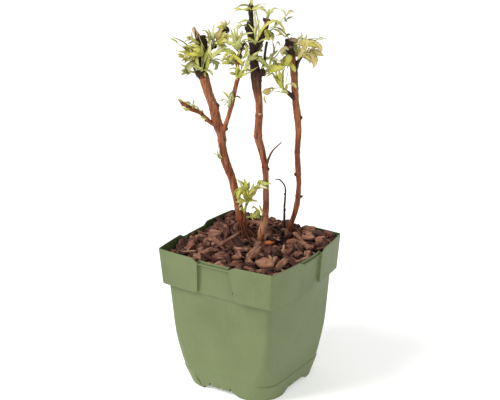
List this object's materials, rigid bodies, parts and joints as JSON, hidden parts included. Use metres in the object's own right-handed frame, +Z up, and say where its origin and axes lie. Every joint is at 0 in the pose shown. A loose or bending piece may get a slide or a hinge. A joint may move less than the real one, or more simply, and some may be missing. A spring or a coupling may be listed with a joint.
{
  "type": "raspberry cane in a pot",
  "caption": "Young raspberry plant with tall pruned canes, side twigs and fresh leaf tufts, growing in a square green nursery pot mulched with bark.",
  "frame": {"origin": "centre of the pot's underside, on the ground", "axes": "+Z up along the canes; +X and +Y square to the pot's sides"},
  "size_m": [0.1496, 0.1445, 0.4101],
  "materials": {
    "pot_plastic": "semi-matte moulded sage green",
    "bark_mulch": "loose red-brown bark chips over dark compost",
    "cane_bark": "thin smooth red-brown bark",
    "dark_wood": "dark weathered wood",
    "leaf_lime": "lime young leaves",
    "leaf_fresh": "fresh young leaves",
    "leaf_pale": "pale young leaves",
    "leaf_deep": "deep young leaves",
    "leaf_bronze": "bronze young leaves"
  },
  "bodies": {
    "root": {"pot_body": "pot_plastic", "bark_bed": "bark_mulch", "cane_left": "cane_bark", "branch_inner": "cane_bark", "twig_low": "cane_bark", "branch_side": "dark_wood", "cane_middle": "cane_bark", "fork_middle": "cane_bark", "twig_thin": "dark_wood", "twig_dead": "dark_wood", "cane_right": "cane_bark", "stem_dead": "dark_wood", "shoot_base": "cane_bark", "leaves_left_west": "leaf_lime", "leaves_left_low": "leaf_deep", "leaves_left_front": "leaf_fresh", "leaves_left_right": "leaf_fresh", "leaves_left_top": "leaf_lime", "leaves_left_back": "leaf_deep", "leaves_side_low": "leaf_pale", "leaves_side_top": "leaf_lime", "leaves_inner_low": "leaf_lime", "leaves_inner_mid": "leaf_lime", "leaves_inner_top": "leaf_pale", "leaves_inner_back": "leaf_deep", "leaves_middle_fork": "leaf_pale", "leaves_middle_left": "leaf_pale", "leaves_middle_cap": "leaf_lime", "leaves_middle_tip": "leaf_lime", "leaves_middle_front": "leaf_deep", "leaves_middle_back": "leaf_deep", "leaves_fork_top": "leaf_pale", "leaves_fork_side": "leaf_deep", "leaves_twig_thin": "leaf_deep", "leaves_stub": "leaf_fresh", "leaves_right_spur": "leaf_bronze", "leaves_right_head": "leaf_pale", "leaves_right_inner": "leaf_lime", "leaves_right_low": "leaf_fresh", "leaves_right_bud": "leaf_lime", "leaves_right_back": "leaf_deep", "leaves_shoot_top": "leaf_lime", "leaves_shoot_low": "leaf_lime", "leaves_twig_low": "leaf_lime", "leaves_sprout": "leaf_fresh", "leaves_tiny": "leaf_pale"}
  },
  "joints": []
}
